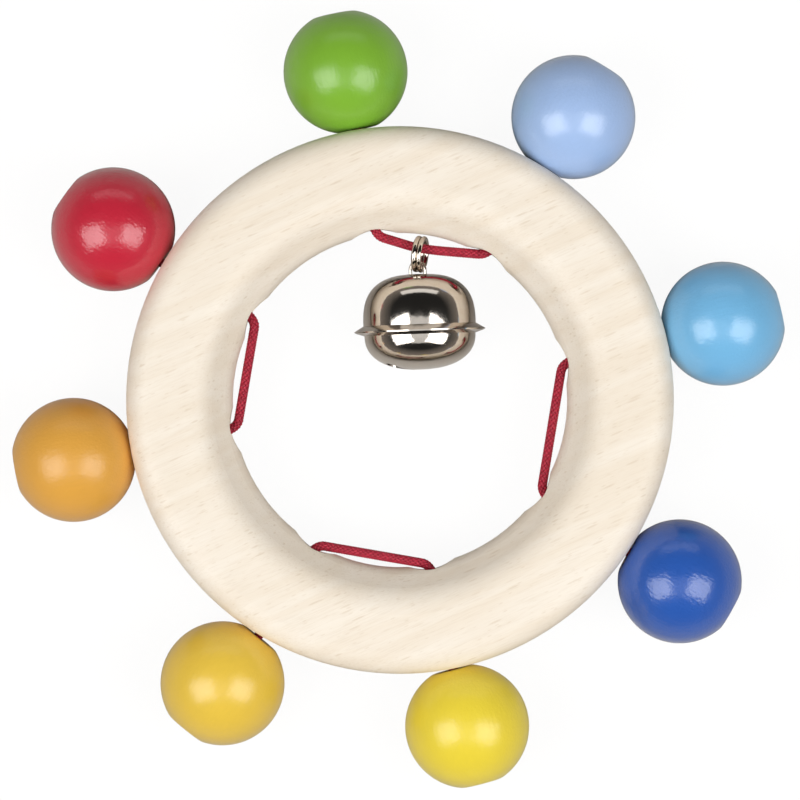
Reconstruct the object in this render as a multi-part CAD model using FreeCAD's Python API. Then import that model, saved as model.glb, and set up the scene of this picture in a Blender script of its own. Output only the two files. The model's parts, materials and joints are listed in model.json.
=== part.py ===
"""A wooden ring rattle: a turned beech ring, lacquered beads on elastic cords, and a jingle bell.

It lies flat: the ring's axis is +Z through the origin, the table is z = 0, and the bell hangs
from the cord at the +Y side. Millimetres.
"""
import FreeCAD, Part
import math
import os

from FreeCAD import Vector

# --- driving dimensions -------------------------------------------------------------------

# the turned ring
ring_outer_diameter = 80.0
ring_opening_diameter = 49.0
ring_thickness = 14.0
ring_wall_slope = 39.5  # degrees from the axis, of the two faces that meet at the inner ridge
ring_ridge_radius = 4.5
ring_inner_edge_radius = 5.0
ring_outer_edge_radius = 3.4
ring_hole_diameter = 4.0
ring_mouth_diameter = 6.4  # countersink at the inner end of each hole
ring_outer_chamfer = 0.4

# the beads
bead_diameter = 18.2  # a stock 18 mm ball with its lacquer
bead_flat_depth = 0.5  # what the flat at each end of the bore takes off the ball
bead_shoulder_radius = 2.0  # rounds the edge of each flat into the ball
bead_bore_diameter = 2.6
bead_mouth_chamfer = 0.4
knot_pocket_diameter = 4.8
knot_pocket_depth = 4.6
bead_to_ring_clearance = 0.05

# the elastic cords
cord_diameter = 1.5
cord_join_depth = 3.0  # how far inside the hole's inner mouth the inner run meets the bead's end
knot_diameter = 4.1
knot_floor_clearance = 0.1
knot_tail_length = 0.4
arc_share = 0.45  # how much of the shorter run beside a bend its arc takes up

# each bead: angle of its hole, lean of the bead from the hole's line, and how far inside the
# hole's mouth the cord turns towards the next bead
beads = {
    "green": (99.0, 2.4, 0.0),
    "pale_blue": (58.5, 0.0, 0.45),
    "sky_blue": (13.3, 0.0, 0.0),
    "dark_blue": (326.2, 4.8, 0.35),
    "yellow": (281.0, 3.6, 0.1),
    "amber": (239.4, -8.4, 0.1),
    "orange": (190.4, 0.0, -0.2),
    "red": (150.3, -6.1, -0.2),
}
# each cord joins two neighbouring beads
cords = {
    "top": ("green", "pale_blue"),
    "right": ("sky_blue", "dark_blue"),
    "bottom": ("yellow", "amber"),
    "left": ("orange", "red"),
}

# the point of the top cord that carries the split ring
hang_x = 3.05
hang_y = 22.1

# the split ring: two turns of round wire, side by side
split_ring_outer_diameter = 5.4
split_ring_wire = 0.75
split_ring_turn_gap = 0.02
split_ring_jog_angle = 12.0  # half the arc over which one turn steps over to the other
split_ring_jog_place = 150.0  # degrees round the ring from where the cord passes
split_ring_lean = 9.0  # degrees, in the plane of the wooden ring
split_ring_yaw = 12.0  # degrees, about the line it hangs in
split_ring_slope = 7.0  # degrees steeper than the line from the cord to the bell's seam
cord_in_ring_clearance = 0.45

# the bell
bell_body_diameter = 16.5
bell_flange_width = 1.35  # how far the brim stands out from the body
bell_upper_height = 8.3
bell_lower_height = 5.7
bell_sheet = 0.35
bell_upper_fullness = 2.75  # 2 is an ellipse, more is squarer
bell_lower_fullness = 2.3
bell_brim_drop = 0.8
bell_brim_edge = 0.1
bell_brim_seat = 0.3
bell_lower_inset = 0.1
bell_lower_flare = 0.45
bell_lean = 2.1
bell_slope = 2.35  # degrees less steep than the line from the cord to its seam
slit_width = 1.0
slit_length = 11.0
slit_hole_diameter = 1.8
slit_turn = 38.0

# the wire eyelet on the bell's crown
eyelet_wire = 0.5
eyelet_clearance = 0.08
eyelet_foot_length = 1.1
eyelet_foot_clearance = 0.1
eyelet_hole_clearance = 0.05
crown_clearance = 0.27  # between the split ring's wire and the crown

# the loose pellet in the bell
pellet_diameter = 4.5
pellet_clearance = 0.15

# --- sizes that follow --------------------------------------------------------------------

ring_outer_radius = ring_outer_diameter / 2
ring_opening_radius = ring_opening_diameter / 2
ring_half = ring_thickness / 2
bead_radius = bead_diameter / 2
bead_flat_distance = bead_radius - bead_flat_depth
bead_flat_radius = math.sqrt(bead_radius ** 2 - bead_flat_distance ** 2)
mid_height = max(bead_radius, ring_half)
cord_radius = cord_diameter / 2
join_radius = ring_opening_radius + cord_join_depth
split_ring_wire_radius = split_ring_wire / 2
split_ring_radius = split_ring_outer_diameter / 2 - split_ring_wire_radius
turn_offset = (split_ring_wire + split_ring_turn_gap) / 2
bell_radius = bell_body_diameter / 2
flange_radius = bell_radius + bell_flange_width
lower_radius = bell_radius - bell_lower_inset
pivot_to_crown = split_ring_wire_radius + crown_clearance
eyelet_wire_radius = eyelet_wire / 2
eyelet_radius = turn_offset + split_ring_wire_radius + eyelet_clearance + eyelet_wire_radius
pellet_radius = pellet_diameter / 2
pellet_orbit = lower_radius - bell_sheet - pellet_radius - pellet_clearance

up = Vector(0, 0, 1)
past = 1.0  # the cutters run past the piece by this much
same_point = 1e-4  # two points, or two directions, no further apart than this are one


def direction(angle):
    """Unit vector in the ring's plane at an angle in degrees from +X."""
    return Vector(math.cos(math.radians(angle)), math.sin(math.radians(angle)), 0)


def on_plane(angle, radius):
    """Point of the ring's middle plane at an angle and a radius."""
    return direction(angle) * radius + up * mid_height


def rounded_path(points, radii):
    """Straight runs through the points, with a tangent arc at each inner point."""
    edges = []
    start = points[0]
    for before, corner, after, radius in zip(points, points[1:], points[2:], radii):
        into = (corner - before).normalize()
        out = (after - corner).normalize()
        turn = into.getAngle(out)
        if turn < same_point:
            continue
        reach = radius * math.tan(turn / 2)
        arc_start = corner - into * reach
        arc_end = corner + out * reach
        inward = (out - into).normalize()
        arc_middle = corner + inward * (radius / math.cos(turn / 2) - radius)
        if start.distanceToPoint(arc_start) > same_point:
            edges.append(Part.LineSegment(start, arc_start).toShape())
        edges.append(Part.Arc(arc_start, arc_middle, arc_end).toShape())
        start = arc_end
    if start.distanceToPoint(points[-1]) > same_point:
        edges.append(Part.LineSegment(start, points[-1]).toShape())
    return Part.Wire(edges)


def tube(points, radius, radii):
    """A round tube along a rounded path."""
    path = rounded_path(points, radii)
    if len(path.Edges) == 1:
        return cylinder_between(points[0], points[-1], radius)
    start_way = (points[1] - points[0]).normalize()
    section = Part.Wire(Part.Circle(points[0], start_way, radius).toShape())
    return path.makePipeShell([section], True, True)


def widest_radii(points):
    """The largest arc at each corner that leaves a tenth of the shorter run straight."""
    radii = []
    for before, corner, after in zip(points, points[1:], points[2:]):
        shorter = min(before.distanceToPoint(corner), corner.distanceToPoint(after))
        turn = (corner - before).getAngle(after - corner)
        radii.append(arc_share * shorter / math.tan(max(turn, same_point) / 2))
    return radii


def revolve_about_z(points, radii):
    """Solid of revolution of a closed outline of (radius, height) corners with rounded corners."""
    corners = [Vector(x, 0, z) for x, z in points]
    first = (corners[-1] + corners[0]) * 0.5
    path = rounded_path([first] + corners + [first], radii)
    return Part.Face(path).revolve(Vector(0, 0, 0), up, 360)


def cylinder_between(start, end, radius):
    way = end - start
    return Part.makeCylinder(radius, way.Length, start, way)


# --- the ring -----------------------------------------------------------------------------

def make_ring():
    slope = math.radians(ring_wall_slope)
    corner_radius = ring_opening_radius - ring_ridge_radius * (1 / math.cos(slope) - 1)
    face_start = corner_radius + ring_half * math.tan(slope)
    outline = [
        (face_start, ring_half),
        (ring_outer_radius, ring_half),
        (ring_outer_radius, -ring_half),
        (face_start, -ring_half),
        (corner_radius, 0),
    ]
    rounding = [
        ring_inner_edge_radius,
        ring_outer_edge_radius,
        ring_outer_edge_radius,
        ring_inner_edge_radius,
        ring_ridge_radius,
    ]
    ring = revolve_about_z(outline, rounding)
    ring.translate(up * mid_height)
    hole_radius = ring_hole_diameter / 2
    mouth_radius = ring_mouth_diameter / 2
    for angle, _, _ in beads.values():
        way = direction(angle)
        start = on_plane(angle, ring_opening_radius - past)
        hole = cylinder_between(start, on_plane(angle, ring_outer_radius + past), hole_radius)
        mouth_depth = mouth_radius + past - hole_radius
        mouth = Part.makeCone(mouth_radius + past, hole_radius, mouth_depth, start, way)
        chamfer = Part.makeCone(
            hole_radius,
            hole_radius + ring_outer_chamfer + past,
            ring_outer_chamfer + past,
            on_plane(angle, ring_outer_radius - ring_outer_chamfer),
            way,
        )
        ring = ring.cut(hole.fuse([mouth, chamfer]))
    return ring


# --- the beads ----------------------------------------------------------------------------

def bead_frame(angle, lean):
    """Where the bead's bore meets the ring, the bore's direction, and the bead's centre."""
    way = direction(angle + lean)
    tilt = math.sin(math.radians(abs(lean)))
    mouth = on_plane(angle, ring_outer_radius + bead_to_ring_clearance + bead_flat_radius * tilt)
    return mouth, way, mouth + way * bead_flat_distance


def make_bead(angle, lean):
    mouth, way, centre = bead_frame(angle, lean)
    ball = Part.makeSphere(bead_radius, centre)
    slab = Part.makeCylinder(bead_diameter, 2 * bead_flat_distance, mouth, way)
    bead = ball.common(slab)
    rims = [edge for edge in bead.Edges if edge.isClosed() and not edge.Degenerated]
    bead = bead.makeFillet(bead_shoulder_radius, rims)
    bore_radius = bead_bore_diameter / 2
    outer_end = mouth + way * (2 * bead_flat_distance)
    chamfer = Part.makeCone(
        bore_radius + bead_mouth_chamfer, bore_radius, bead_mouth_chamfer, mouth, way
    )
    pocket = Part.makeCylinder(
        knot_pocket_diameter / 2, knot_pocket_depth, outer_end - way * knot_pocket_depth, way
    )
    return bead.cut(cylinder_between(mouth, outer_end, bore_radius).fuse([chamfer, pocket]))


# --- the elastic cords --------------------------------------------------------------------

def make_cord_end(angle, lean):
    """The cord through the ring's hole and the bead, with the knot in the bead's pocket."""
    mouth, way, centre = bead_frame(angle, lean)
    pocket_floor = centre + way * (bead_flat_distance - knot_pocket_depth)
    knot_centre = pocket_floor + way * (knot_floor_clearance + knot_diameter / 2)
    tail = knot_centre + way * (knot_diameter / 2 + knot_tail_length)
    points = [on_plane(angle, join_radius), mouth, tail]
    knot = Part.makeSphere(knot_diameter / 2, knot_centre, way)
    return tube(points, cord_radius, widest_radii(points)).fuse(knot)


def cord_run_points(first, second):
    """The inner run of a cord, from inside one hole to inside the next."""
    first_angle, _, first_turn = beads[first]
    second_angle, _, second_turn = beads[second]
    return [
        on_plane(first_angle, join_radius),
        on_plane(first_angle, ring_opening_radius + first_turn),
        on_plane(second_angle, ring_opening_radius + second_turn),
        on_plane(second_angle, join_radius),
    ]


# --- the split ring -----------------------------------------------------------------------

hang_point = Vector(hang_x, hang_y, mid_height)
cord_to_ring_centre = split_ring_radius - split_ring_wire_radius - cord_in_ring_clearance - cord_radius
cord_to_pivot = cord_to_ring_centre + split_ring_radius
# the bell lies on its flange, so the line from the cord to the middle of its seam climbs or falls
hang_reach = cord_to_pivot + pivot_to_crown + bell_upper_height
hang_span = math.hypot(hang_reach, flange_radius)
hang_slope = math.atan2(flange_radius, hang_reach) - math.asin(mid_height / hang_span)
ring_climb = hang_slope + math.radians(split_ring_slope)
bell_climb = hang_slope - math.radians(bell_slope)
hang_way = direction(270 - split_ring_lean) * math.cos(ring_climb) + up * math.sin(ring_climb)
split_ring_centre = hang_point + hang_way * cord_to_ring_centre
pivot_point = hang_point + hang_way * cord_to_pivot
yaw = math.radians(split_ring_yaw)
across = Vector(math.cos(yaw), 0, math.sin(yaw))
split_ring_axis = (across - hang_way * across.dot(hang_way)).normalize()
wire_way = split_ring_axis.cross(hang_way).normalize()  # along the ring's wire at the pivot


def frame_at(origin, x_axis, z_axis):
    """Placement with its local X and Z along two directions at right angles."""
    y_axis = z_axis.cross(x_axis)
    matrix = FreeCAD.Matrix(
        x_axis.x, y_axis.x, z_axis.x, origin.x,
        x_axis.y, y_axis.y, z_axis.y, origin.y,
        x_axis.z, y_axis.z, z_axis.z, origin.z,
        0, 0, 0, 1,
    )
    return FreeCAD.Placement(matrix)


def make_split_ring():
    """Two open turns side by side, joined by a short slanting step."""
    step_start = direction(-split_ring_jog_angle) * split_ring_radius - up * turn_offset
    step_end = direction(split_ring_jog_angle) * split_ring_radius + up * turn_offset
    pieces = []
    for side in (-1, 1):
        section_centre = direction(split_ring_jog_angle) * split_ring_radius + up * side * turn_offset
        section_way = direction(split_ring_jog_angle + 90)
        circle = Part.Circle(section_centre, section_way, split_ring_wire_radius)
        disc = Part.Face(Part.Wire(circle.toShape()))
        pieces.append(disc.revolve(Vector(0, 0, 0), up, 360 - 2 * split_ring_jog_angle))
    pieces.append(cylinder_between(step_start, step_end, split_ring_wire_radius))
    pieces += [Part.makeSphere(split_ring_wire_radius, end) for end in (step_start, step_end)]
    ring = pieces[0].fuse(pieces[1:]).removeSplitter()
    ring.rotate(Vector(0, 0, 0), up, 180 - split_ring_jog_place)
    ring.Placement = frame_at(split_ring_centre, hang_way, split_ring_axis).multiply(ring.Placement)
    return ring


# --- the bell -----------------------------------------------------------------------------

bell_up = direction(90 + bell_lean) * math.cos(bell_climb) - up * math.sin(bell_climb)
bell_across = (split_ring_axis - bell_up * split_ring_axis.dot(bell_up)).normalize()
bell_centre = pivot_point - bell_up * (pivot_to_crown + bell_upper_height)
bell_placement = frame_at(bell_centre, bell_across, bell_up)


def shell_curve(radius, height, fullness, base, sign):
    """Quarter outline of a pressed shell, from its side at height base to its pole."""
    steps = 12
    points = []
    for step in range(steps):
        angle = math.pi / 2 * step / steps
        x = radius * math.cos(angle) ** (2 / fullness)
        z = height * math.sin(angle) ** (2 / fullness)
        points.append(Vector(x, 0, base + sign * z))
    points.append(Vector(0, 0, base + sign * height))
    curve = Part.BSplineCurve()
    curve.interpolate(points, InitialTangent=Vector(0, 0, sign), FinalTangent=Vector(-1, 0, 0))
    return curve.toShape()


def make_shell(outer_curve, inner_curve, outer_corners, inner_corners):
    """Revolve a sheet between two curves that end on the axis, with corners at the open side."""
    outer_start, outer_pole = outer_curve.firstVertex().Point, outer_curve.lastVertex().Point
    inner_start, inner_pole = inner_curve.firstVertex().Point, inner_curve.lastVertex().Point
    brim = [Vector(x, 0, z) for x, z in outer_corners + inner_corners]
    corners = [outer_start] + brim + [inner_start]
    sides = [Part.LineSegment(a, b).toShape() for a, b in zip(corners, corners[1:])]
    sides.append(Part.LineSegment(inner_pole, outer_pole).toShape())
    wire = Part.Wire(Part.__sortEdges__([outer_curve, inner_curve] + sides))
    return Part.Face(wire).revolve(Vector(0, 0, 0), up, 360)


def make_upper_shell():
    brim_top = bell_brim_edge + bell_brim_drop
    height = bell_upper_height - brim_top
    inner_base = brim_top - bell_sheet
    outer = shell_curve(bell_radius, height, bell_upper_fullness, brim_top, 1)
    inner = shell_curve(bell_radius - bell_sheet, height, bell_upper_fullness, inner_base, 1)
    outer_corners = [(flange_radius, bell_brim_edge), (flange_radius, 0)]
    shell = make_shell(outer, inner, outer_corners, [(flange_radius - bell_brim_seat, 0)])
    hole_radius = eyelet_wire_radius + eyelet_hole_clearance
    for side in (-1, 1):
        under = Vector(side * eyelet_radius, 0, bell_upper_height - bell_sheet - past)
        above = Vector(side * eyelet_radius, 0, bell_upper_height + past)
        shell = shell.cut(cylinder_between(under, above, hole_radius))
    shell.Placement = bell_placement
    return shell


def make_lower_shell():
    seat_outer = flange_radius - bell_brim_edge
    outer_base = -bell_lower_flare - bell_brim_edge
    inner_base = -bell_lower_flare
    outer_height = bell_lower_height + outer_base
    inner_height = bell_lower_height - bell_sheet + inner_base
    outer = shell_curve(lower_radius, outer_height, bell_lower_fullness, outer_base, -1)
    inner = shell_curve(lower_radius - bell_sheet, inner_height, bell_lower_fullness, inner_base, -1)
    outer_corners = [(seat_outer, -bell_brim_edge), (seat_outer, 0)]
    shell = make_shell(outer, inner, outer_corners, [(flange_radius - 2 * bell_brim_seat, 0)])
    half_slit = (slit_length - slit_hole_diameter) / 2
    depth = bell_lower_height
    slit_floor = Vector(0, 0, -bell_lower_height - past)
    corner = slit_floor - Vector(half_slit, slit_width / 2, 0)
    slit = Part.makeBox(2 * half_slit, slit_width, depth, corner)
    for side in (-1, 1):
        end = slit_floor + Vector(side * half_slit, 0, 0)
        slit = slit.fuse(cylinder_between(end, end + up * depth, slit_hole_diameter / 2))
    slit.rotate(Vector(0, 0, 0), up, slit_turn)
    shell = shell.cut(slit)
    shell.Placement = bell_placement
    return shell


def make_eyelet():
    """A staple of wire: an arch round the split ring, and feet clinched under the crown."""
    arch_centre = bell_upper_height + pivot_to_crown
    foot_height = bell_upper_height - bell_sheet - eyelet_foot_clearance - eyelet_wire_radius
    foot_end = eyelet_radius + eyelet_foot_length
    points = [
        Vector(-foot_end, 0, foot_height),
        Vector(-eyelet_radius, 0, foot_height),
        Vector(-eyelet_radius, 0, arch_centre + eyelet_radius),
        Vector(eyelet_radius, 0, arch_centre + eyelet_radius),
        Vector(eyelet_radius, 0, foot_height),
        Vector(foot_end, 0, foot_height),
    ]
    foot_bend = eyelet_wire_radius + eyelet_foot_clearance
    eyelet = tube(points, eyelet_wire_radius, [foot_bend, eyelet_radius, eyelet_radius, foot_bend])
    eyelet.Placement = bell_placement
    return eyelet


def make_pellet():
    """The pellet lies against the wall that faces the table."""
    down = Vector(0, 0, -1)
    return Part.makeSphere(pellet_radius, bell_centre + down * pellet_orbit)


# --- all the pieces -----------------------------------------------------------------------

def build():
    shapes = {"wooden_ring": make_ring()}
    for name, (angle, lean, _) in beads.items():
        shapes["bead_" + name] = make_bead(angle, lean)
        shapes["elastic_end_" + name] = make_cord_end(angle, lean)
    for name, ends in cords.items():
        points = cord_run_points(*ends)
        if name == "top":
            points.insert(2, hang_point)
        radii = widest_radii(points)
        shapes["elastic_" + name] = tube(points, cord_radius, radii)
        print("elastic_" + name, "bends", [round(radius, 2) for radius in radii])
    shapes["split_ring"] = make_split_ring()
    shapes["bell_eyelet"] = make_eyelet()
    shapes["bell_upper_shell"] = make_upper_shell()
    shapes["bell_lower_shell"] = make_lower_shell()
    shapes["bell_pellet"] = make_pellet()
    return shapes


os.makedirs("parts", exist_ok=True)
for node, shape in build().items():
    shape.exportStep("parts/" + node + ".step")
    print(node, len(shape.Solids), "solid,", round(shape.Volume, 2), "mm3, valid", shape.isValid())
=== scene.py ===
import json
import math

import bpy
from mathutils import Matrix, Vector


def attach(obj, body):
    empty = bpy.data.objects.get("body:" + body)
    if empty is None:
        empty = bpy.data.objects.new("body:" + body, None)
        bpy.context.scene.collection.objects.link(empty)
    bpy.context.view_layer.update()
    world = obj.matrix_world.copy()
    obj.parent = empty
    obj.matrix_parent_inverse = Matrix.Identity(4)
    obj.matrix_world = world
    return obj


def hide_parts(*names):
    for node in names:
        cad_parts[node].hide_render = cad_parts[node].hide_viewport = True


# A beech ring rattle with lacquered beads on red elastic and a nickel bell. It lies on white
# paper under two softboxes. Metres, Z up.

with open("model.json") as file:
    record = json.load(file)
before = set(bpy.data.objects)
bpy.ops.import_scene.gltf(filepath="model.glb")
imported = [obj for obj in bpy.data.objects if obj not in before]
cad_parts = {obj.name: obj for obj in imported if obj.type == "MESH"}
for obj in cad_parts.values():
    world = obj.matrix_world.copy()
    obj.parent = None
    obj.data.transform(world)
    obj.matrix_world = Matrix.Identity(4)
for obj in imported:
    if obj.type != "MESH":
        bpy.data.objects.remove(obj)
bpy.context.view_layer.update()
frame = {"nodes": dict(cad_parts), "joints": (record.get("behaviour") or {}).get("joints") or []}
nodes = frame["nodes"]
joints = {joint["name"]: joint for joint in frame["joints"]}
mm = 0.001
print("frame loaded,", len(nodes), "nodes")


def spot(name):
    return Vector(joints[name]["pos_m"])


def way(name):
    return Vector(joints[name]["axis"]).normalized()


def toLinear(hexText):
    # a written colour as the linear values that the shaders take
    shades = [int(hexText[place:place + 2], 16) / 255 for place in (1, 3, 5)]
    return [s / 12.92 if s <= 0.04045 else ((s + 0.055) / 1.055) ** 2.4 for s in shades] + [1.0]


def addNode(tree, kind, inputs=None, settings=None):
    # one node, with its settings, and each input either set or linked from another node's output
    node = tree.nodes.new(kind)
    for name, value in (settings or {}).items():
        setattr(node, name, value)
    for name, value in (inputs or {}).items():
        if isinstance(value, bpy.types.NodeSocket):
            tree.links.new(value, node.inputs[name])
        else:
            node.inputs[name].default_value = value
    return node


def newMaterial(name):
    material = bpy.data.materials.new(name)
    material.use_nodes = True
    material.node_tree.nodes.clear()
    return material, material.node_tree


def dress(node, material):
    # a CAD node keeps its shape and takes a finish
    mesh = nodes[node].data
    mesh.materials.clear()
    mesh.materials.append(material)


beechRing = {
    "pale": "#F9EFE0",
    "shade": "#F3E6D3",
    "fleck": "#D8C4A8",
    "grainTurn": math.radians(24),  # the board's grain, from X
    # three layers over the pale wood: its cells along, across and through the board, how fine the
    # noise is, where it starts and where it is full, its strength, and the colour that it brings
    "layers": (
        ((55 * mm, 2.4 * mm, 5 * mm), 2, (0.35, 0.7), 1.0, "shade"),  # growth bands
        ((16 * mm, 8 * mm, 8 * mm), 2, (0.4, 0.7), 0.45, "shade"),  # blotches
        ((3.2 * mm, 0.16 * mm, 0.2 * mm), 3, (0.45, 0.75), 0.22, "fleck"),  # fibres
    ),
    # long and short cut rays, as cells and strength, drawn twice their real width so that they show
    "rays": (((4.6 * mm, 0.62 * mm, 0.9 * mm), 0.42), ((1.7 * mm, 0.42 * mm, 0.5 * mm), 0.3)),
    "rayEdge": (0.3, 0.12),  # how far from its cell's middle a ray starts, and is full
    "rayChance": (0.35, 0.9),  # most cells hold a weak ray or none
    "relief": 0.02 * mm,
    "reliefStrength": 0.5,
    "roughness": 0.52,
    "ior": 1.45,
}


def turnedBeech():
    # raw beech, turned and sanded: pale cream, dry, with short darker rays along the grain
    look = beechRing
    material, tree = newMaterial("turnedBeech")
    place = addNode(tree, "ShaderNodeTexCoord").outputs["Object"]
    board = {"Vector": place, "Rotation": (0, 0, look["grainTurn"])}
    smooth = {"interpolation_type": "SMOOTHSTEP"}
    times, minus = {"operation": "MULTIPLY"}, {"operation": "SUBTRACT"}
    wood = toLinear(look["pale"])
    for size, detail, (low, high), strength, colour in look["layers"]:
        along = addNode(tree, "ShaderNodeMapping", {**board, "Scale": size}, {"vector_type": "TEXTURE"})
        inputs = {"Vector": along.outputs[0], "Scale": 1, "Detail": detail}
        noise = addNode(tree, "ShaderNodeTexNoise", inputs).outputs["Fac"]
        inputs = {"Value": noise, "From Min": low, "From Max": high, "To Max": strength}
        share = addNode(tree, "ShaderNodeMapRange", inputs, smooth).outputs[0]
        inputs = {0: share, 6: wood, 7: toLinear(look[colour])}
        wood = addNode(tree, "ShaderNodeMix", inputs, {"data_type": "RGBA"}).outputs[2]
    depth = noise  # the fibres stand up, and the rays are sunk
    for size, strength in look["rays"]:
        along = addNode(tree, "ShaderNodeMapping", {**board, "Scale": size}, {"vector_type": "TEXTURE"})
        cells = addNode(tree, "ShaderNodeTexVoronoi", {"Vector": along.outputs[0], "Scale": 1})
        start, full = look["rayEdge"]
        inputs = {"Value": cells.outputs["Distance"], "From Min": start, "From Max": full}
        near = addNode(tree, "ShaderNodeMapRange", inputs, smooth).outputs[0]
        lot = addNode(tree, "ShaderNodeSeparateColor", {0: cells.outputs["Color"]}).outputs[0]
        low, high = look["rayChance"]
        inputs = {"Value": lot, "From Min": low, "From Max": high}
        chosen = addNode(tree, "ShaderNodeMapRange", inputs, smooth).outputs[0]
        ray = addNode(tree, "ShaderNodeMath", {0: near, 1: chosen}, times).outputs[0]
        share = addNode(tree, "ShaderNodeMath", {0: ray, 1: strength}, times).outputs[0]
        inputs = {0: share, 6: wood, 7: toLinear(look["fleck"])}
        wood = addNode(tree, "ShaderNodeMix", inputs, {"data_type": "RGBA"}).outputs[2]
        depth = addNode(tree, "ShaderNodeMath", {0: depth, 1: ray}, minus).outputs[0]
    inputs = {"Height": depth, "Strength": look["reliefStrength"], "Distance": look["relief"]}
    bump = addNode(tree, "ShaderNodeBump", inputs)
    shader = addNode(tree, "ShaderNodeBsdfPrincipled", {
        "Base Color": wood, "Roughness": look["roughness"], "IOR": look["ior"],
        "Normal": bump.outputs[0],
    })
    addNode(tree, "ShaderNodeOutputMaterial", {"Surface": shader.outputs[0]})
    return material


dress("wooden_ring", turnedBeech())

beadFinish = {  # colour, then the top coat's share and roughness: the warm colours are nearly satin
    "green": ("#84BB37", 0.75, 0.22),
    "pale_blue": ("#AAC7F3", 0.9, 0.16),
    "sky_blue": ("#7BBFEB", 0.95, 0.14),
    "dark_blue": ("#2C5DB6", 1.0, 0.13),
    "yellow": ("#F4DB41", 0.6, 0.22),
    "amber": ("#F0C94A", 0.7, 0.2),
    "orange": ("#E6A948", 0.5, 0.25),
    "red": ("#CB293E", 1.0, 0.12),
}
lacquer = {
    "shadeShare": 0.97,  # how bright the darker patches are, beside the written colour
    "patch": 5 * mm,
    "patchSpread": (0.12, 0.42),  # where the noise starts to darken, and has darkened fully
    "fibre": (3.5 * mm, 0.4 * mm, 0.4 * mm),  # the wood's fibres, felt through the coat
    "peel": 0.4 * mm,
    "relief": 0.035 * mm,
    "reliefStrength": 0.9,
    "roughness": 0.32,
    "ior": 1.5,
    "specular": 0.3,  # most of the gloss is the top coat's
    "bareWood": "#DCC7A6",
    "pocketRadius": 2.405 * mm,
}


def lacqueredBeech(name, colour, coat, coatRoughness):
    # two coats of water-based gloss on a turned ball: even colour, broad soft-edged highlights
    look = lacquer
    material, tree = newMaterial("lacqueredBeech_" + name)
    centre = spot("bead_" + name + "_spin")
    bore = way("bead_" + name + "_spin")
    place = addNode(tree, "ShaderNodeTexCoord").outputs["Object"]
    turn = (0, 0, math.atan2(bore.y, bore.x))
    inputs = {"Vector": place, "Location": centre, "Rotation": turn, "Scale": look["fibre"]}
    along = addNode(tree, "ShaderNodeMapping", inputs, {"vector_type": "TEXTURE"}).outputs[0]
    inputs = {"Vector": along, "Scale": 1, "Detail": 2}
    fibres = addNode(tree, "ShaderNodeTexNoise", inputs).outputs["Fac"]
    inputs = {"Vector": place, "Scale": 1 / look["peel"]}
    peel = addNode(tree, "ShaderNodeTexNoise", inputs).outputs["Fac"]
    inputs = {"Vector": place, "Scale": 1 / look["patch"]}
    patches = addNode(tree, "ShaderNodeTexNoise", inputs).outputs["Fac"]
    relief = addNode(tree, "ShaderNodeMath", {0: fibres, 1: peel}, {"operation": "ADD"}).outputs[0]
    inputs = {"Height": relief, "Strength": look["reliefStrength"], "Distance": look["relief"]}
    bump = addNode(tree, "ShaderNodeBump", inputs).outputs[0]
    inputs = {0: fibres, 1: patches}
    mixed = addNode(tree, "ShaderNodeMath", inputs, {"operation": "MULTIPLY"}).outputs[0]
    start, full = look["patchSpread"]
    inputs = {"Value": mixed, "From Min": start, "From Max": full}
    factor = addNode(tree, "ShaderNodeMapRange", inputs).outputs[0]
    bright = toLinear(colour)
    dull = [part * look["shadeShare"] for part in bright[:3]] + [1.0]
    inputs = {0: factor, 6: bright, 7: dull}
    paint = addNode(tree, "ShaderNodeMix", inputs, {"data_type": "RGBA"}).outputs[2]
    # inside the bore and the pocket, the wood is bare
    offset = addNode(tree, "ShaderNodeVectorMath", {0: place, 1: centre}, {"operation": "SUBTRACT"})
    inputs = {0: offset.outputs[0], 1: bore}
    arm = addNode(tree, "ShaderNodeVectorMath", inputs, {"operation": "CROSS_PRODUCT"}).outputs[0]
    reach = addNode(tree, "ShaderNodeVectorMath", {0: arm}, {"operation": "LENGTH"}).outputs["Value"]
    inputs = {0: reach, 1: look["pocketRadius"]}
    inside = addNode(tree, "ShaderNodeMath", inputs, {"operation": "LESS_THAN"}).outputs[0]
    inputs = {0: inside, 6: paint, 7: toLinear(look["bareWood"])}
    skin = addNode(tree, "ShaderNodeMix", inputs, {"data_type": "RGBA"}).outputs[2]
    shader = addNode(tree, "ShaderNodeBsdfPrincipled", {
        "Base Color": skin, "Roughness": look["roughness"], "IOR": look["ior"],
        "Specular IOR Level": look["specular"], "Coat Weight": coat, "Coat Roughness": coatRoughness,
        "Normal": bump, "Coat Normal": bump,
    })
    addNode(tree, "ShaderNodeOutputMaterial", {"Surface": shader.outputs[0]})
    return material


for name, finish in beadFinish.items():
    dress("bead_" + name, lacqueredBeech(name, *finish))
print("wood done: ring and", len(beadFinish), "beads")

nickel = {
    "colour": "#D6CEC4",  # warm white metal
    "roughness": (0.09, 0.15),  # clean, and where it is scuffed
    "wave": 2.5 * mm,  # the pressed sheet's slight waves
    "waveHeight": 0.004 * mm,
    "scuff": 0.25 * mm,
    "scuffSpread": (0.4, 0.8),
}


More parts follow.
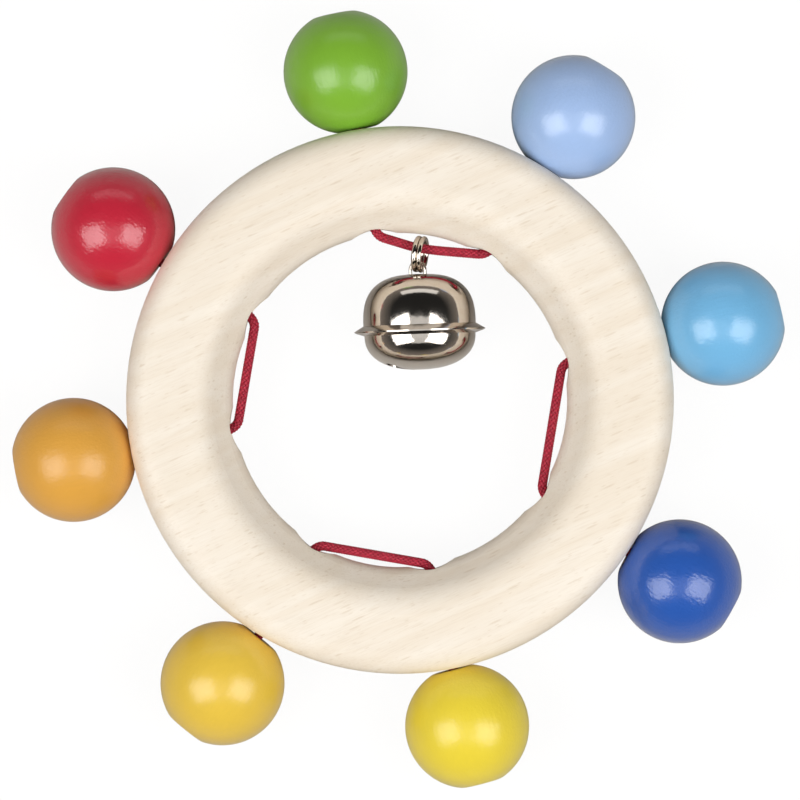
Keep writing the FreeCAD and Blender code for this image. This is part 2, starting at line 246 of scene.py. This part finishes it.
def brightNickelPlate():
    # nickel over polished steel: mirror reflections, a little warm, faintly uneven
    material, tree = newMaterial("brightNickelPlate")
    place = addNode(tree, "ShaderNodeTexCoord").outputs["Object"]
    waves = addNode(tree, "ShaderNodeTexNoise", {"Vector": place, "Scale": 1 / nickel["wave"]})
    inputs = {"Vector": place, "Scale": 1 / nickel["scuff"], "Detail": 4}
    scuffs = addNode(tree, "ShaderNodeTexNoise", inputs).outputs["Fac"]
    (start, full), (clean, scuffed) = nickel["scuffSpread"], nickel["roughness"]
    inputs = {
        "Value": scuffs, "From Min": start, "From Max": full, "To Min": clean, "To Max": scuffed,
    }
    roughness = addNode(tree, "ShaderNodeMapRange", inputs).outputs[0]
    inputs = {"Height": waves.outputs["Fac"], "Strength": 1.0, "Distance": nickel["waveHeight"]}
    bump = addNode(tree, "ShaderNodeBump", inputs)
    shader = addNode(tree, "ShaderNodeBsdfPrincipled", {
        "Base Color": toLinear(nickel["colour"]), "Metallic": 1.0, "Roughness": roughness,
        "Normal": bump.outputs[0],
    })
    addNode(tree, "ShaderNodeOutputMaterial", {"Surface": shader.outputs[0]})
    return material


pellet = {"colour": "#9C9C9A", "roughness": 0.38, "dent": 0.5 * mm, "dentDepth": 0.02 * mm}


def tumbledSteel():
    # the pellet: plain steel, dulled by knocking about inside the bell
    material, tree = newMaterial("tumbledSteel")
    place = addNode(tree, "ShaderNodeTexCoord").outputs["Object"]
    inputs = {"Vector": place, "Scale": 1 / pellet["dent"], "Detail": 3}
    dents = addNode(tree, "ShaderNodeTexNoise", inputs).outputs["Fac"]
    bump = addNode(tree, "ShaderNodeBump", {"Height": dents, "Distance": pellet["dentDepth"]})
    shader = addNode(tree, "ShaderNodeBsdfPrincipled", {
        "Base Color": toLinear(pellet["colour"]), "Metallic": 1.0, "Roughness": pellet["roughness"],
        "Normal": bump.outputs[0],
    })
    addNode(tree, "ShaderNodeOutputMaterial", {"Surface": shader.outputs[0]})
    return material


plate = brightNickelPlate()
for name in ("split_ring", "bell_eyelet", "bell_upper_shell", "bell_lower_shell"):
    dress(name, plate)
dress("bell_pellet", tumbledSteel())
print("metal done")

elastic = {
    "diameter": 1.5 * mm,
    "strands": 6,  # each way round the sleeve
    "lay": 4.5 * mm,  # length in which a strand goes once round
    "strandWidth": 0.42 * mm,
    "strandThickness": 0.24 * mm,
    "rise": 0.11 * mm,  # how far a strand moves out and in as it crosses over and under
    "core": 0.8 * mm,
    "coreSides": 8,
    "smoothness": 24,  # points between two corners of a route
    "step": 0.19 * mm,
    "sides": 6,
    "red": "#CC2743",
    # the darker red: where the yarn's uneven dye leans, and the painted shade of the gaps and the core
    "dyeAndShadeRed": "#6A0A1D",
    "toneSpread": 0.25,  # no two yarns took the dye alike
    "gapShade": 0.36,  # painted shade: how much darker a strand is painted where it dives under another
    "fuzz": 0.12 * mm,
    "fuzzRelief": 0.02 * mm,
    "fuzzTone": (0.5, -0.2),
    "roughness": 0.5,
    "sheen": (0.08, 0.4, "#F0A0AC"),  # weight, roughness and tint of the silky edge
}


def braidedElastic():
    # polyester yarn round rubber: silky red with painted shade in the gaps, a little paler where the
    # light grazes
    material, tree = newMaterial("braidedElastic")
    place = addNode(tree, "ShaderNodeTexCoord").outputs["Object"]
    inputs = {"Vector": place, "Scale": 1 / elastic["fuzz"], "Detail": 2}
    fuzz = addNode(tree, "ShaderNodeTexNoise", inputs).outputs["Fac"]
    # each point's own dye tone, plus painted shade in the gaps and on the core
    depth = addNode(tree, "ShaderNodeAttribute", settings={"attribute_name": "depth"}).outputs["Fac"]
    gain, shift = elastic["fuzzTone"]
    inputs = {0: fuzz, 1: gain, 2: shift}
    mottle = addNode(tree, "ShaderNodeMath", inputs, {"operation": "MULTIPLY_ADD"}).outputs[0]
    added = {"operation": "ADD", "use_clamp": True}
    mixed = addNode(tree, "ShaderNodeMath", {0: depth, 1: mottle}, added).outputs[0]
    inputs = {0: mixed, 6: toLinear(elastic["red"]), 7: toLinear(elastic["dyeAndShadeRed"])}
    yarn = addNode(tree, "ShaderNodeMix", inputs, {"data_type": "RGBA"}).outputs[2]
    bump = addNode(tree, "ShaderNodeBump", {"Height": fuzz, "Distance": elastic["fuzzRelief"]})
    weight, soft, tint = elastic["sheen"]
    shader = addNode(tree, "ShaderNodeBsdfPrincipled", {
        "Base Color": yarn, "Roughness": elastic["roughness"], "IOR": 1.5, "Sheen Weight": weight,
        "Sheen Roughness": soft, "Sheen Tint": toLinear(tint), "Normal": bump.outputs[0],
    })
    addNode(tree, "ShaderNodeOutputMaterial", {"Surface": shader.outputs[0]})
    return material


def evenLine(route, step):
    # the smooth line that follows a route's corners, as evenly spaced points
    curve = bpy.data.curves.new("route", "CURVE")
    curve.dimensions = "3D"
    curve.resolution_u = elastic["smoothness"]
    spline = curve.splines.new("NURBS")
    spline.points.add(len(route) - 1)
    for point, place in zip(spline.points, route):
        point.co = (*place, 1)
    spline.order_u = 3
    spline.use_endpoint_u = True
    carrier = bpy.data.objects.new("route", curve)
    traced = bpy.data.meshes.new_from_object(carrier)
    line = [vertex.co.copy() for vertex in traced.vertices]
    bpy.data.objects.remove(carrier)
    bpy.data.curves.remove(curve)
    bpy.data.meshes.remove(traced)
    lengths = [0.0]
    for before, after in zip(line, line[1:]):
        lengths.append(lengths[-1] + (after - before).length)
    count = max(2, round(lengths[-1] / step))
    even = []
    index = 0
    for turn in range(count + 1):
        target = lengths[-1] * turn / count
        while index < len(line) - 2 and lengths[index + 1] < target:
            index += 1
        span = lengths[index + 1] - lengths[index]
        even.append(line[index].lerp(line[index + 1], (target - lengths[index]) / span if span else 0))
    return even


def waysAcross(line):
    # two directions across a line at each of its points, which don't twist round it
    tangents = []
    for index in range(len(line)):
        before, after = line[max(index - 1, 0)], line[min(index + 1, len(line) - 1)]
        tangents.append((after - before).normalized())
    side = tangents[0].orthogonal().normalized()
    sides, ups = [], []
    for index, tangent in enumerate(tangents):
        if index:
            side = tangents[index - 1].rotation_difference(tangent) @ side
            side = (side - tangent * side.dot(tangent)).normalized()
        sides.append(side)
        ups.append(tangent.cross(side))
    return sides, ups


def sweep(mesh, centres, firsts, seconds, width, height, sides):
    # adds one strand with an oval section to the lists of points and faces
    points, faces = mesh
    start = len(points)
    for centre, first, second in zip(centres, firsts, seconds):
        for corner in range(sides):
            angle = 2 * math.pi * corner / sides
            aside, up = width / 2 * math.cos(angle), height / 2 * math.sin(angle)
            points.append(centre + first * aside + second * up)
    for ring in range(len(centres) - 1):
        for corner in range(sides):
            across = (corner + 1) % sides
            low = start + ring * sides
            faces.append((low + corner, low + across, low + sides + across, low + sides + corner))
    faces.append(tuple(start + corner for corner in reversed(range(sides))))
    last = start + (len(centres) - 1) * sides
    faces.append(tuple(last + corner for corner in range(sides)))


def braidedCord(name, route, material):
    # a rubber core and two sets of strands that wind against each other, over one and under one
    look = elastic
    line = evenLine(route, look["step"])
    sides, ups = waysAcross(line)
    points, faces = [], []
    sweep((points, faces), line, sides, ups, look["core"], look["core"], look["coreSides"])
    # the core shows only in the gaps between strands, and is painted the darkest red there as their
    # shade
    yarnToneAndShade = [1.0] * len(points)
    middleRadius = look["diameter"] / 2 - look["rise"] - look["strandThickness"] / 2
    length = look["step"] * (len(line) - 1)
    for hand in (1, -1):
        for strand in range(look["strands"]):
            centres, outs = [], []
            tone = look["toneSpread"] * ((strand * 5 + (hand > 0) * 3) % 7) / 6
            for index, (place, side, up) in enumerate(zip(line, sides, ups)):
                turned = 2 * math.pi * length * index / (len(line) - 1) / look["lay"]
                angle = hand * turned + 2 * math.pi * strand / look["strands"]
                out = side * math.cos(angle) + up * math.sin(angle)
                lift = hand * math.cos(look["strands"] * turned)
                radius = middleRadius + look["rise"] * lift
                # each strand's own dye tone, plus painted shade where it dives under another
                yarnToneAndShade += [tone + look["gapShade"] * (1 - lift)] * look["sides"]
                centres.append(place + out * radius)
                outs.append(out)
            flats = []
            for index, out in enumerate(outs):
                before, after = centres[max(index - 1, 0)], centres[min(index + 1, len(centres) - 1)]
                flats.append((after - before).cross(out).normalized())
            width, thickness = look["strandWidth"], look["strandThickness"]
            sweep((points, faces), centres, flats, outs, width, thickness, look["sides"])
    mesh = bpy.data.meshes.new(name)
    mesh.from_pydata(points, [], faces)
    mesh.attributes.new("depth", "FLOAT", "POINT").data.foreach_set("value", yarnToneAndShade)
    mesh.shade_smooth()
    mesh.materials.append(material)
    cord = bpy.data.objects.new(name, mesh)
    bpy.context.scene.collection.objects.link(cord)
    return cord


knot = {
    "lobe": 1.56 * mm,
    "height": 0.79 * mm,
    "rise": 1.65 * mm,  # from the pocket's floor to the middle of the knot
    "lead": (1.2 * mm, 0.1 * mm),  # the straight cord below the pocket's floor
    "turn": range(500, 210, -20),  # degrees of the three-lobed curve that it takes up
    "topAside": (0.45 * mm, 0.25 * mm),  # the tail leaves beside the middle
    "top": 1.7 * mm,
    "tail": 2.95 * mm,
}


def knotRoute(foot, out):
    # an overhand knot: the three-lobed turn of a trefoil, entered from below and left at the top
    across = out.cross(Vector((0, 0, 1))).normalized()
    aside = out.cross(across)
    centre = foot + out * knot["rise"]
    route = [foot - out * lead for lead in knot["lead"]]
    for degrees in knot["turn"]:
        t = math.radians(degrees)
        x = knot["lobe"] * (math.sin(t) + 2 * math.sin(2 * t)) / 3
        y = knot["lobe"] * (math.cos(t) - 2 * math.cos(2 * t)) / 3
        z = -knot["height"] * math.sin(3 * t)
        route.append(centre + across * x + aside * y + out * z)
    right, back = knot["topAside"]
    top = centre + across * right - aside * back
    return route + [top + out * knot["top"], top + out * knot["tail"]]


# distances from the middle of the ring, and how far a cord runs on before it bends
ringHole = {"join": 27.5 * mm, "mouth": 24.5 * mm, "bendLead": 3 * mm}
beadBore = {"half": 8.6 * mm, "pocketFloor": 4.0 * mm}  # from the middle of the bead
cordRuns = {  # the beads at both ends, and how far outside the mouth of its hole each end turns
    "top": {"beads": ("green", "pale_blue"), "turns": (0.0, 0.45 * mm)},
    "right": {"beads": ("sky_blue", "dark_blue"), "turns": (0.0, 0.35 * mm)},
    "bottom": {"beads": ("yellow", "amber"), "turns": (0.1 * mm, 0.1 * mm)},
    "left": {"beads": ("orange", "red"), "turns": (-0.2 * mm, -0.2 * mm)},
}
middle = Vector((0, 0, spot("bead_green_spin").z))

yarn = braidedElastic()
for name, run in cordRuns.items():
    (first, second), (firstTurn, secondTurn) = run["beads"], run["turns"]
    firstHole, secondHole = way("bead_" + first + "_pull"), way("bead_" + second + "_pull")
    start = middle + firstHole * (ringHole["mouth"] + firstTurn)
    end = middle + secondHole * (ringHole["mouth"] + secondTurn)
    route = [middle + firstHole * ringHole["join"], start]
    if name == "top":
        hang = spot("split_ring_rock")
        route += [start + (hang - start).normalized() * ringHole["bendLead"], hang]
        route += [end + (hang - end).normalized() * ringHole["bendLead"]]
    else:
        lead = (end - start).normalized() * ringHole["bendLead"]
        route += [start + lead, end - lead]
    route += [end, middle + secondHole * ringHole["join"]]
    cord = braidedCord("elasticRun_" + name, route, yarn)
    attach(cord, "ring")
    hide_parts("elastic_" + name)

for name in beadFinish:
    centre, out = spot("bead_" + name + "_spin"), way("bead_" + name + "_spin")
    hole = way("bead_" + name + "_pull")
    mouth = centre - out * beadBore["half"]
    floor = centre + out * beadBore["pocketFloor"]
    route = [middle + hole * ringHole["join"], mouth, centre] + knotRoute(floor, out)
    cord = braidedCord("elasticEnd_" + name, route, yarn)
    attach(cord, "cord_end_" + name)
    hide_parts("elastic_end_" + name)
print("elastic done:", len(cordRuns), "runs and", len(beadFinish), "knotted ends")

studio = {
    "cameraHeight": 0.9,
    "framed": 117.3 * mm,  # what the view takes in at the middle of the ring
    "sensor": 36,
    "nearest": 0.05,
    "boxTurn": math.radians(36),  # each softbox stands this far to its side of overhead
    "boxTip": math.radians(12),  # and this far towards the yellow bead
    "boxDistance": 0.9,
    "boxSize": (0.58, 0.66),
    "boxPower": 4.85,
    "fillDistance": 1.15,  # a wide weak sheet behind the two boxes, which joins them
    "fillSize": (1.4, 0.75),
    "fillPower": 2.3,
    "stripTurn": math.radians(69),  # a far window past the top of the ring
    "stripDistance": 1.4,
    "stripSize": (1.6, 0.36),
    "stripPower": 1.6,
}


def aimedLamp(name, direction, distance, size, power):
    lamp = bpy.data.lights.new(name, "AREA")
    lamp.shape = "RECTANGLE"
    lamp.size, lamp.size_y = size
    lamp.energy = power
    holder = bpy.data.objects.new(name, lamp)
    holder.location = direction * distance
    holder.rotation_mode = "QUATERNION"
    holder.rotation_quaternion = direction.to_track_quat("Z", "Y")
    holder.visible_camera = False
    bpy.context.scene.collection.objects.link(holder)
    return holder


for side in (-1, 1):
    sideways = side * math.sin(studio["boxTurn"])
    towards = -math.sin(studio["boxTip"])
    height = math.sqrt(1 - sideways ** 2 - towards ** 2)
    direction = Vector((sideways, towards, height))
    aimedLamp("softbox", direction, studio["boxDistance"], studio["boxSize"], studio["boxPower"])
overhead = Vector((0, -math.sin(studio["boxTip"]), math.cos(studio["boxTip"])))
aimedLamp("fill", overhead, studio["fillDistance"], studio["fillSize"], studio["fillPower"])
window = Vector((0, math.sin(studio["stripTurn"]), math.cos(studio["stripTurn"])))
aimedLamp("window", window, studio["stripDistance"], studio["stripSize"], studio["stripPower"])

# the room from floor to ceiling, as heights and colours: dim warm walls, then a dark ceiling
room = (
    (0.02, "#867E79"), (0.3, "#615D59"), (0.5, "#272727"), (0.97, "#272727"), (0.99, "#595959"),
)
world = bpy.data.worlds.new("studioRoom")
bpy.context.scene.world = world
world.use_nodes = True
tree = world.node_tree
tree.nodes.clear()
rays = addNode(tree, "ShaderNodeLightPath")
sky = addNode(tree, "ShaderNodeTexCoord").outputs["Generated"]
height = addNode(tree, "ShaderNodeSeparateXYZ", {0: sky}).outputs["Z"]
ramp = addNode(tree, "ShaderNodeValToRGB", {0: height})
stops = ramp.color_ramp.elements
stops.remove(stops[1])
stops[0].position, stops[0].color = room[0][0], toLinear(room[0][1])
for place, colour in room[1:]:
    stops.new(place).color = toLinear(colour)
walls = addNode(tree, "ShaderNodeBackground", {"Color": ramp.outputs[0], "Strength": 1.0})
white = addNode(tree, "ShaderNodeBackground", {"Color": (1, 1, 1, 1), "Strength": 1.0})
inputs = {0: rays.outputs["Is Camera Ray"], 1: walls.outputs[0], 2: white.outputs[0]}
mixed = addNode(tree, "ShaderNodeMixShader", inputs)
addNode(tree, "ShaderNodeOutputWorld", {"Surface": mixed.outputs[0]})

tablePaper = {
    "colour": "#B9B6B2",
    "glow": 0.6,  # light that only the camera sees
    "clear": 0.84,  # how much of the white behind it the camera sees
    "reach": 1.6,
    "drop": 0.05 * mm,
}


def whiteTable():
    # matt paper on a light table: white to the camera, the object's shadow only just there, while
    # metal and lacquer reflect the paper's own shade and keep their dark edges
    material, tree = newMaterial("whiteTable")
    rays = addNode(tree, "ShaderNodeLightPath")
    inputs = {0: rays.outputs["Is Camera Ray"], 1: tablePaper["glow"]}
    glow = addNode(tree, "ShaderNodeMath", inputs, {"operation": "MULTIPLY"})
    matt = addNode(tree, "ShaderNodeBsdfDiffuse", {"Color": toLinear(tablePaper["colour"])})
    light = addNode(tree, "ShaderNodeEmission", {"Strength": glow.outputs[0]})
    lit = addNode(tree, "ShaderNodeAddShader", {0: matt.outputs[0], 1: light.outputs[0]})
    clear = addNode(tree, "ShaderNodeBsdfTransparent")
    under = addNode(tree, "ShaderNodeNewGeometry").outputs["Backfacing"]  # wholly clear from below
    inputs = {0: under, 1: tablePaper["clear"]}
    clearness = addNode(tree, "ShaderNodeMath", inputs, {"operation": "MAXIMUM"}).outputs[0]
    inputs = {0: rays.outputs["Is Camera Ray"], 1: clearness}
    share = addNode(tree, "ShaderNodeMath", inputs, {"operation": "MULTIPLY"})
    inputs = {0: share.outputs[0], 1: lit.outputs[0], 2: clear.outputs[0]}
    shown = addNode(tree, "ShaderNodeMixShader", inputs)
    addNode(tree, "ShaderNodeOutputMaterial", {"Surface": shown.outputs[0]})
    return material


reach = tablePaper["reach"]
flat = ((-reach, -reach), (reach, -reach), (reach, reach), (-reach, reach))
corners = [(x, y, -tablePaper["drop"]) for x, y in flat]
table = bpy.data.meshes.new("table")
table.from_pydata(corners, [], [(0, 1, 2, 3)])
table.materials.append(whiteTable())
tableTop = bpy.data.objects.new("table", table)
bpy.context.scene.collection.objects.link(tableTop)

camera = bpy.data.cameras.new("camera")
camera.sensor_width = studio["sensor"]
camera.lens = camera.sensor_width * studio["cameraHeight"] / studio["framed"]
camera.clip_start = studio["nearest"]
view = bpy.data.objects.new("camera", camera)
view.location = middle + Vector((0, 0, studio["cameraHeight"]))
bpy.context.scene.collection.objects.link(view)
bpy.context.scene.camera = view
bpy.context.scene.view_settings.view_transform = "Standard"
print("studio done")
